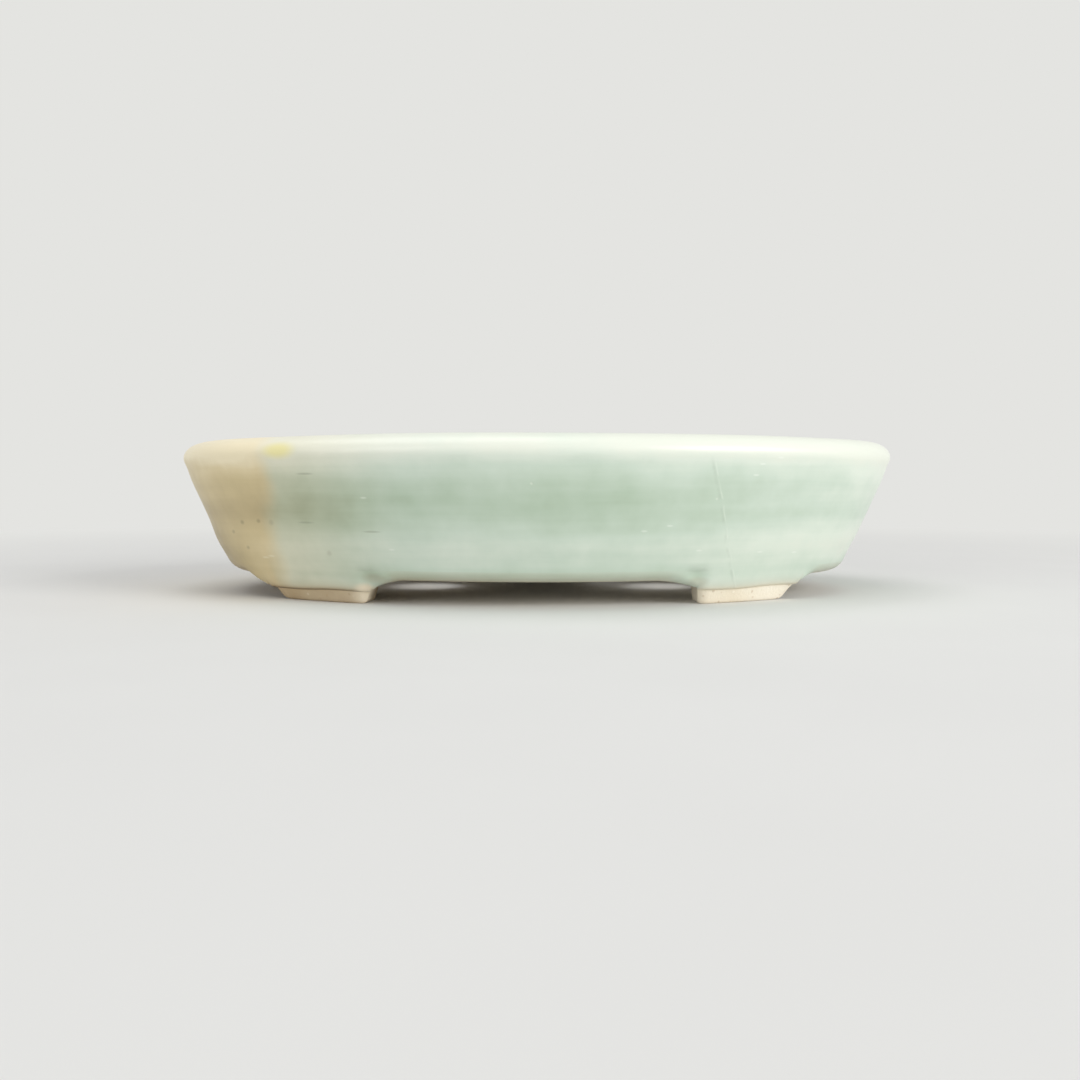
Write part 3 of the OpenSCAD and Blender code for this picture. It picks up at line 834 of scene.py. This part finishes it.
def with_painted_seam(tree, place, tone):
    """The tone with the seam painted on it: a painted highlight along a hairline, beside a line of painted
    shade.
    """
    axes = add(tree, "ShaderNodeSeparateXYZ", {0: place}).node.outputs
    across = add(tree, "ShaderNodeMath", {
        0: axes["Z"], 1: SEAM_LEAN, 2: axes["X"]}, operation="MULTIPLY_ADD")
    waver = add(tree, "ShaderNodeTexNoise", {"Vector": place, "Scale": 1 / SEAM_STRETCH, "Detail": 2.0})
    across = add(tree, "ShaderNodeMath", {0: waver, 1: SEAM_WAVERS, 2: across}, operation="MULTIPLY_ADD")
    whole = add(tree, "ShaderNodeTexNoise", {"Vector": place, "Scale": 1 / SEAM_BREAKS, "Detail": 2.0})
    whole = add(tree, "ShaderNodeMapRange", {"Value": whole, 1: SEAM_GONE, 2: SEAM_WHOLE})
    front = add(tree, "ShaderNodeMath", {0: axes["Y"], 1: 0.0}, operation="LESS_THAN")
    whole = add(tree, "ShaderNodeMath", {0: whole, 1: front}, operation="MULTIPLY")
    low = add(tree, "ShaderNodeMapRange", {"Value": axes["Z"], 1: SEAM_TOP, 2: SEAM_TOP - SEAM_FADES})
    whole = add(tree, "ShaderNodeMath", {0: whole, 1: low}, operation="MULTIPLY")
    for offset, half_width, code, strength in SEAM_LIGHT_AND_SHADE.values():
        line = add(tree, "ShaderNodeMath", {0: across, 1: SEAM_FOOT + offset}, operation="SUBTRACT")
        line = add(tree, "ShaderNodeMath", {0: line}, operation="ABSOLUTE")
        line = add(tree, "ShaderNodeMapRange", {"Value": line, 1: half_width, 2: 0.0, 4: strength})
        line = add(tree, "ShaderNodeMath", {0: line, 1: whole}, operation="MULTIPLY")
        tone = add(tree, "ShaderNodeMix", {0: line, 6: tone, 7: colour(code)}, data_type="RGBA")
    return tone


def celadon_glaze():
    """Celadon, a glossy iron-green glaze over pale stoneware: milky green where it lies thick, near white
    where it ran thin off the lip, warm and yellowish at the end that the kiln's flame oxidised."""
    material, tree, place = new_material("celadon_glaze_reduction_fired")
    axes = add(tree, "ShaderNodeSeparateXYZ", {0: place}).node.outputs
    depth = add(tree, "ShaderNodeAttribute", attribute_name="glaze_depth_and_light").node.outputs["Fac"]
    end = add(tree, "ShaderNodeAttribute", attribute_name="glaze_end_and_shade").node.outputs["Fac"]

    for size, detail, roughness, amount in DEPTH_PATTERNS.values():
        spread = add(tree, "ShaderNodeVectorMath", {0: place, 1: size}, operation="DIVIDE")
        noise = add(tree, "ShaderNodeTexNoise", {
            "Vector": spread, "Scale": 1.0, "Detail": detail, "Roughness": roughness})
        noise = add(tree, "ShaderNodeMapRange", {
            "Value": noise, 1: NOISE_LOW, 2: NOISE_HIGH, 3: -amount, 4: amount})
        depth = add(tree, "ShaderNodeMath", {0: depth, 1: noise}, operation="ADD")
    depth = add(tree, "ShaderNodeMath", {0: depth, 1: DEEPEST}, operation="DIVIDE", use_clamp=True)
    green = add(tree, "ShaderNodeValToRGB", {"Fac": depth}, stops=GREEN)
    warm = add(tree, "ShaderNodeValToRGB", {"Fac": depth}, stops=WARM)

    # The oxidised end, with its wavering edge and its last tinge.
    waver = add(tree, "ShaderNodeTexNoise", {"Vector": place, "Scale": 1 / EDGE_PATCH, "Detail": 2.0})
    edge = add(tree, "ShaderNodeMath", {0: waver, 1: EDGE_WAVERS, 2: axes["X"]}, operation="MULTIPLY_ADD")
    begins = add(tree, "ShaderNodeMapRange", {
        "Value": axes["Y"], 1: SOFTENS_FROM, 2: SOFTENS_TO,
        3: OXIDISED_EDGE + SOFT_IN_FRONT, 4: OXIDISED_EDGE + SOFT_AT_BACK})
    oxidised = add(tree, "ShaderNodeMapRange", {
        "Value": edge, 1: begins, 2: OXIDISED_EDGE, 4: 1 - TINGE}, interpolation_type="SMOOTHSTEP")
    tinge = add(tree, "ShaderNodeMapRange", {
        "Value": axes["X"], 1: TINGE_REACHES, 2: OXIDISED_EDGE, 4: TINGE}, interpolation_type="SMOOTHSTEP")
    oxidised = add(tree, "ShaderNodeMath", {0: oxidised, 1: tinge}, operation="ADD", use_clamp=True)
    tone = add(tree, "ShaderNodeMix", {0: oxidised, 6: green, 7: warm}, data_type="RGBA")

    # Clay shows through where the glaze thins out at its ends, toasted dark towards the flame's side, with
    # painted shade in both: greyer between the feet and darker under the bead.
    flamed_and_shaded = add(tree, "ShaderNodeMapRange", {
        "Value": axes["X"], 1: TOASTED_AND_SHADED_FROM, 2: TOASTED_AND_SHADED_TO}, interpolation_type="SMOOTHSTEP")
    pale = add(tree, "ShaderNodeValToRGB", {"Fac": end}, stops=PALE_END_AND_SHADE)
    toasted_and_shaded = add(tree, "ShaderNodeValToRGB", {"Fac": end}, stops=TOASTED_AND_SHADED_END)
    through = add(tree, "ShaderNodeMix", {0: flamed_and_shaded, 6: pale, 7: toasted_and_shaded}, data_type="RGBA")
    share = add(tree, "ShaderNodeMapRange", {"Value": end, 1: END_BEGINS, 2: END_FULL, 4: END_SHARE})
    tone = add(tree, "ShaderNodeMix", {0: share, 6: tone, 7: through}, data_type="RGBA")
    tone = with_painted_seam(tree, place, marked(tree, place, tone, MARKS_AND_PAINTED_LIGHT))

    cells = add(tree, "ShaderNodeTexVoronoi", {"Vector": place, "Scale": 1 / PINHOLE_SPACING}).node.outputs
    chosen = add(tree, "ShaderNodeSeparateColor", {0: cells["Color"]}).node.outputs[0]
    chosen = add(tree, "ShaderNodeMath", {0: chosen, 1: NO_PINHOLE}, operation="GREATER_THAN")
    pinhole = add(tree, "ShaderNodeMapRange", {
        "Value": cells["Distance"], 1: PINHOLE_RADIUS / PINHOLE_SPACING, 2: PINHOLE_CORE / PINHOLE_SPACING,
        4: PINHOLE_SHOWS})
    pinhole = add(tree, "ShaderNodeMath", {0: pinhole, 1: chosen}, operation="MULTIPLY")
    tone = add(tree, "ShaderNodeMix", {0: pinhole, 6: tone, 7: colour("#eef0e4")}, data_type="RGBA")

    peel = add(tree, "ShaderNodeTexNoise", {"Vector": place, "Scale": 1 / PEEL, "Detail": 2.0})
    swell = add(tree, "ShaderNodeTexNoise", {"Vector": place, "Scale": 1 / SWELL, "Detail": 1.0})
    pitted = add(tree, "ShaderNodeMath", {0: pinhole, 1: -1.0}, operation="MULTIPLY")
    bump = add(tree, "ShaderNodeBump", {"Height": peel, "Strength": 1.0, "Distance": PEEL_DEPTH * MM})
    for height, distance in [(swell, SWELL_DEPTH), (pitted, PINHOLE_DEPTH)]:
        bump = add(tree, "ShaderNodeBump", {
            "Height": height, "Strength": 1.0, "Distance": distance * MM, "Normal": bump})
    roughness = add(tree, "ShaderNodeMapRange", {"Value": peel, 3: GLAZE_SMOOTH, 4: GLAZE_ROUGH})
    shader = add(tree, "ShaderNodeBsdfPrincipled", {
        "Base Color": tone, "Roughness": roughness, "IOR": CERAMIC_IOR, "Normal": bump})
    add(tree, "ShaderNodeOutputMaterial", {"Surface": shader})
    return material


# The bare clay: pale cream, and a darker warm tone from one X to the other, partly kiln flashing and partly
# painted shade, each blushing in patches of this size between two colours.
CREAM, TOAST_WITH_SHADE = ("#eee3cd", "#f6eedd"), ("#bda682", "#cdba98")
BLUSH, FLASHED_AND_SHADED_FROM, FLASHED_AND_SHADED_TO = 7.0, 0.0, -45.0

# Grains of grog in the clay, some darker and some paler: how far apart they are drawn, their radius and
# that of their core, how strongly they show and how far they stand out. The clay's grit has its size and
# its height, and the clay's roughness goes with it.
GROG_SPACING, GROG_RADIUS, GROG_CORE, GROG_SHOWS, GROG_HEIGHT = 1.4, 0.308, 0.168, 0.45, 0.05
GROG = [(0.0, "#a98c69"), (0.5, "#cdb594"), (1.0, "#fbf4e6")]
GRIT, GRIT_HEIGHT = 0.5, 0.06
CLAY_SMOOTH, CLAY_ROUGH = 0.75, 0.95


def bare_clay():
    """Fired stoneware left bare, matt and sandy: pale cream, darker and warmer at the flame's end of the
    pot, partly from kiln flashing and partly painted shade, with grains of ground brick in it."""
    material, tree, place = new_material("stoneware_clay_unglazed")
    axes = add(tree, "ShaderNodeSeparateXYZ", {0: place}).node.outputs
    blush = add(tree, "ShaderNodeTexNoise", {"Vector": place, "Scale": 1 / BLUSH, "Detail": 4.0})
    blush = add(tree, "ShaderNodeMapRange", {"Value": blush, 1: NOISE_LOW, 2: NOISE_HIGH})
    cream, toast_and_shade = [
        add(tree, "ShaderNodeMix", {0: blush, 6: colour(first), 7: colour(second)}, data_type="RGBA")
        for first, second in (CREAM, TOAST_WITH_SHADE)]
    flashed_and_shaded = add(tree, "ShaderNodeMapRange", {
        "Value": axes["X"], 1: FLASHED_AND_SHADED_FROM, 2: FLASHED_AND_SHADED_TO}, interpolation_type="SMOOTHSTEP")
    tone = add(tree, "ShaderNodeMix", {0: flashed_and_shaded, 6: cream, 7: toast_and_shade}, data_type="RGBA")
    tone = marked(tree, place, tone, PAINTED_CLAY_HIGHLIGHT)

    cells = add(tree, "ShaderNodeTexVoronoi", {"Vector": place, "Scale": 1 / GROG_SPACING}).node.outputs
    kind = add(tree, "ShaderNodeSeparateColor", {0: cells["Color"]}).node.outputs[0]
    grain_tone = add(tree, "ShaderNodeValToRGB", {"Fac": kind}, stops=GROG)
    grain = add(tree, "ShaderNodeMapRange", {
        "Value": cells["Distance"], 1: GROG_RADIUS / GROG_SPACING, 2: GROG_CORE / GROG_SPACING,
        4: GROG_SHOWS})
    tone = add(tree, "ShaderNodeMix", {0: grain, 6: tone, 7: grain_tone}, data_type="RGBA")

    grit = add(tree, "ShaderNodeTexNoise", {"Vector": place, "Scale": 1 / GRIT, "Detail": 3.0})
    bump = add(tree, "ShaderNodeBump", {"Height": grit, "Strength": 1.0, "Distance": GRIT_HEIGHT * MM})
    bump = add(tree, "ShaderNodeBump", {
        "Height": grain, "Strength": 1.0, "Distance": GROG_HEIGHT * MM, "Normal": bump})
    roughness = add(tree, "ShaderNodeMapRange", {"Value": grit, 3: CLAY_SMOOTH, 4: CLAY_ROUGH})
    shader = add(tree, "ShaderNodeBsdfPrincipled", {
        "Base Color": tone, "Roughness": roughness, "IOR": CERAMIC_IOR, "Normal": bump})
    add(tree, "ShaderNodeOutputMaterial", {"Surface": shader})
    return material


# The studio's paper, its mottle, and the backdrop that it fades into between these distances.
PAPER, PAPER_MOTTLE, PAPER_ROUGHNESS = ("#dededc", "#e2e2e0"), 30.0, 0.9
BACKDROP = "#e4e4e1"
PAPER_FADES, PAPER_ENDS = 95.0, 340.0


def seen_directly(tree):
    """1 for what the camera sees, straight or in a reflection, and 0 for what lights the pot."""
    rays = add(tree, "ShaderNodeLightPath").node.outputs
    seen = add(tree, "ShaderNodeMath", {
        0: rays["Is Camera Ray"], 1: rays["Is Glossy Ray"]}, operation="MAXIMUM")
    return add(tree, "ShaderNodeMath", {0: seen, 1: rays["Is Transmission Ray"]}, operation="MAXIMUM")


def studio_paper():
    """Matt pale paper under the pot, which fades into the backdrop farther off."""
    material, tree, place = new_material("studio_paper_matt")
    mottle = add(tree, "ShaderNodeTexNoise", {"Vector": place, "Scale": 1 / PAPER_MOTTLE, "Detail": 2.0})
    tone = add(tree, "ShaderNodeMix", {
        0: mottle, 6: colour(PAPER[0]), 7: colour(PAPER[1])}, data_type="RGBA")
    paper = add(tree, "ShaderNodeBsdfPrincipled", {"Base Color": tone, "Roughness": PAPER_ROUGHNESS})
    backdrop = add(tree, "ShaderNodeEmission", {"Color": colour(BACKDROP), "Strength": 1.0})
    far = add(tree, "ShaderNodeVectorMath", {0: place}, operation="LENGTH").node.outputs["Value"]
    far = add(tree, "ShaderNodeMapRange", {
        "Value": far, 1: PAPER_FADES, 2: PAPER_ENDS}, interpolation_type="SMOOTHSTEP")
    far = add(tree, "ShaderNodeMath", {0: far, 1: seen_directly(tree)}, operation="MULTIPLY")
    surface = add(tree, "ShaderNodeMixShader", {0: far, 1: paper, 2: backdrop})
    add(tree, "ShaderNodeOutputMaterial", {"Surface": surface})
    material.cycles.emission_sampling = "NONE"
    return material


GLAZE_FINISH, CLAY_FINISH = celadon_glaze(), bare_clay()

# The pot
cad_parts["floor_slab"].data.materials.clear()
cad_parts["floor_slab"].data.materials.append(CLAY_FINISH)
for piece, node, slot in [
        (glaze_coat(GLAZE_FINISH), "glaze_coat", "celadon_glaze"),
        (clay_wall(CLAY_FINISH), "wall", "bare_clay"),
        (clay_lip(CLAY_FINISH), "rim_lip", "bare_clay"),
        *[(clay_foot(name, CLAY_FINISH), "foot_" + name, "bare_clay") for name in CUTS]]:
    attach(piece, "root")
    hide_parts(node)

# The studio: half the floor's side in metres, and the lamps, each with its place, the point it faces and
# its size in metres, and its power in watts
FLOOR_HALF = 3.0
SOFTBOXES = {
    "key_softbox_front_right": ((0.80, -0.60, 0.42), (0, 0, 0.015), 0.5, 7.0),
    "fill_softbox_front_left": ((-0.60, -0.70, 0.25), (0, 0, 0.015), 0.5, 1.5),
    "top_softbox": ((-0.20, 0.0, 0.80), (0, 0, 0.02), 0.6, 2.1),
}
ROOM_LIGHT, ROOM_STRENGTH = "#f6f6f6", 0.5

floor_mesh = bpy.data.meshes.new("studio_floor")
floor_corners = [(x * FLOOR_HALF, y * FLOOR_HALF, 0) for x, y in [(-1, -1), (1, -1), (1, 1), (-1, 1)]]
floor_mesh.from_pydata(floor_corners, [], [(0, 1, 2, 3)])
floor_mesh.materials.append(studio_paper())
floor = bpy.data.objects.new("studio_floor", floor_mesh)
bpy.context.scene.collection.objects.link(floor)

for name, (place, target, size, power) in SOFTBOXES.items():
    lamp = bpy.data.lights.new(name, "AREA")
    lamp.shape, lamp.size, lamp.energy = "SQUARE", size, power
    holder = bpy.data.objects.new(name, lamp)
    holder.location = place
    along, ahead, up = np.array(target) - np.array(place)
    pitch = math.atan2(up, math.hypot(along, ahead))
    holder.rotation_euler = (pitch + math.pi / 2, 0, math.atan2(-along, ahead))
    bpy.context.scene.collection.objects.link(holder)

world = bpy.data.worlds.new("soft_room_light")
world.use_nodes = True
sky = world.node_tree
sky.nodes.clear()
room = add(sky, "ShaderNodeBackground", {"Color": colour(ROOM_LIGHT), "Strength": ROOM_STRENGTH})
backdrop = add(sky, "ShaderNodeBackground", {"Color": colour(BACKDROP), "Strength": 1.0})
light = add(sky, "ShaderNodeMixShader", {0: seen_directly(sky), 1: room, 2: backdrop})
add(sky, "ShaderNodeOutputWorld", {"Surface": light})
bpy.context.scene.world = world

# The camera, at the photograph's viewing angle: its place in millimetres, how far it looks down, and its
# lens and sensor
CAMERA_PLACE = np.array([0.57, -205.8, 19.26])
CAMERA_DOWN = math.radians(2.907)
LENS, SENSOR = 36.1, 36.0
camera = bpy.data.objects.new("camera", bpy.data.cameras.new("camera"))
camera.data.lens, camera.data.sensor_width = LENS, SENSOR
camera.data.clip_start = 10 * MM
camera.location = CAMERA_PLACE * MM
camera.rotation_euler = (math.pi / 2 - CAMERA_DOWN, 0, 0)
bpy.context.scene.collection.objects.link(camera)
bpy.context.scene.camera = camera
bpy.context.scene.view_settings.view_transform = "Standard"
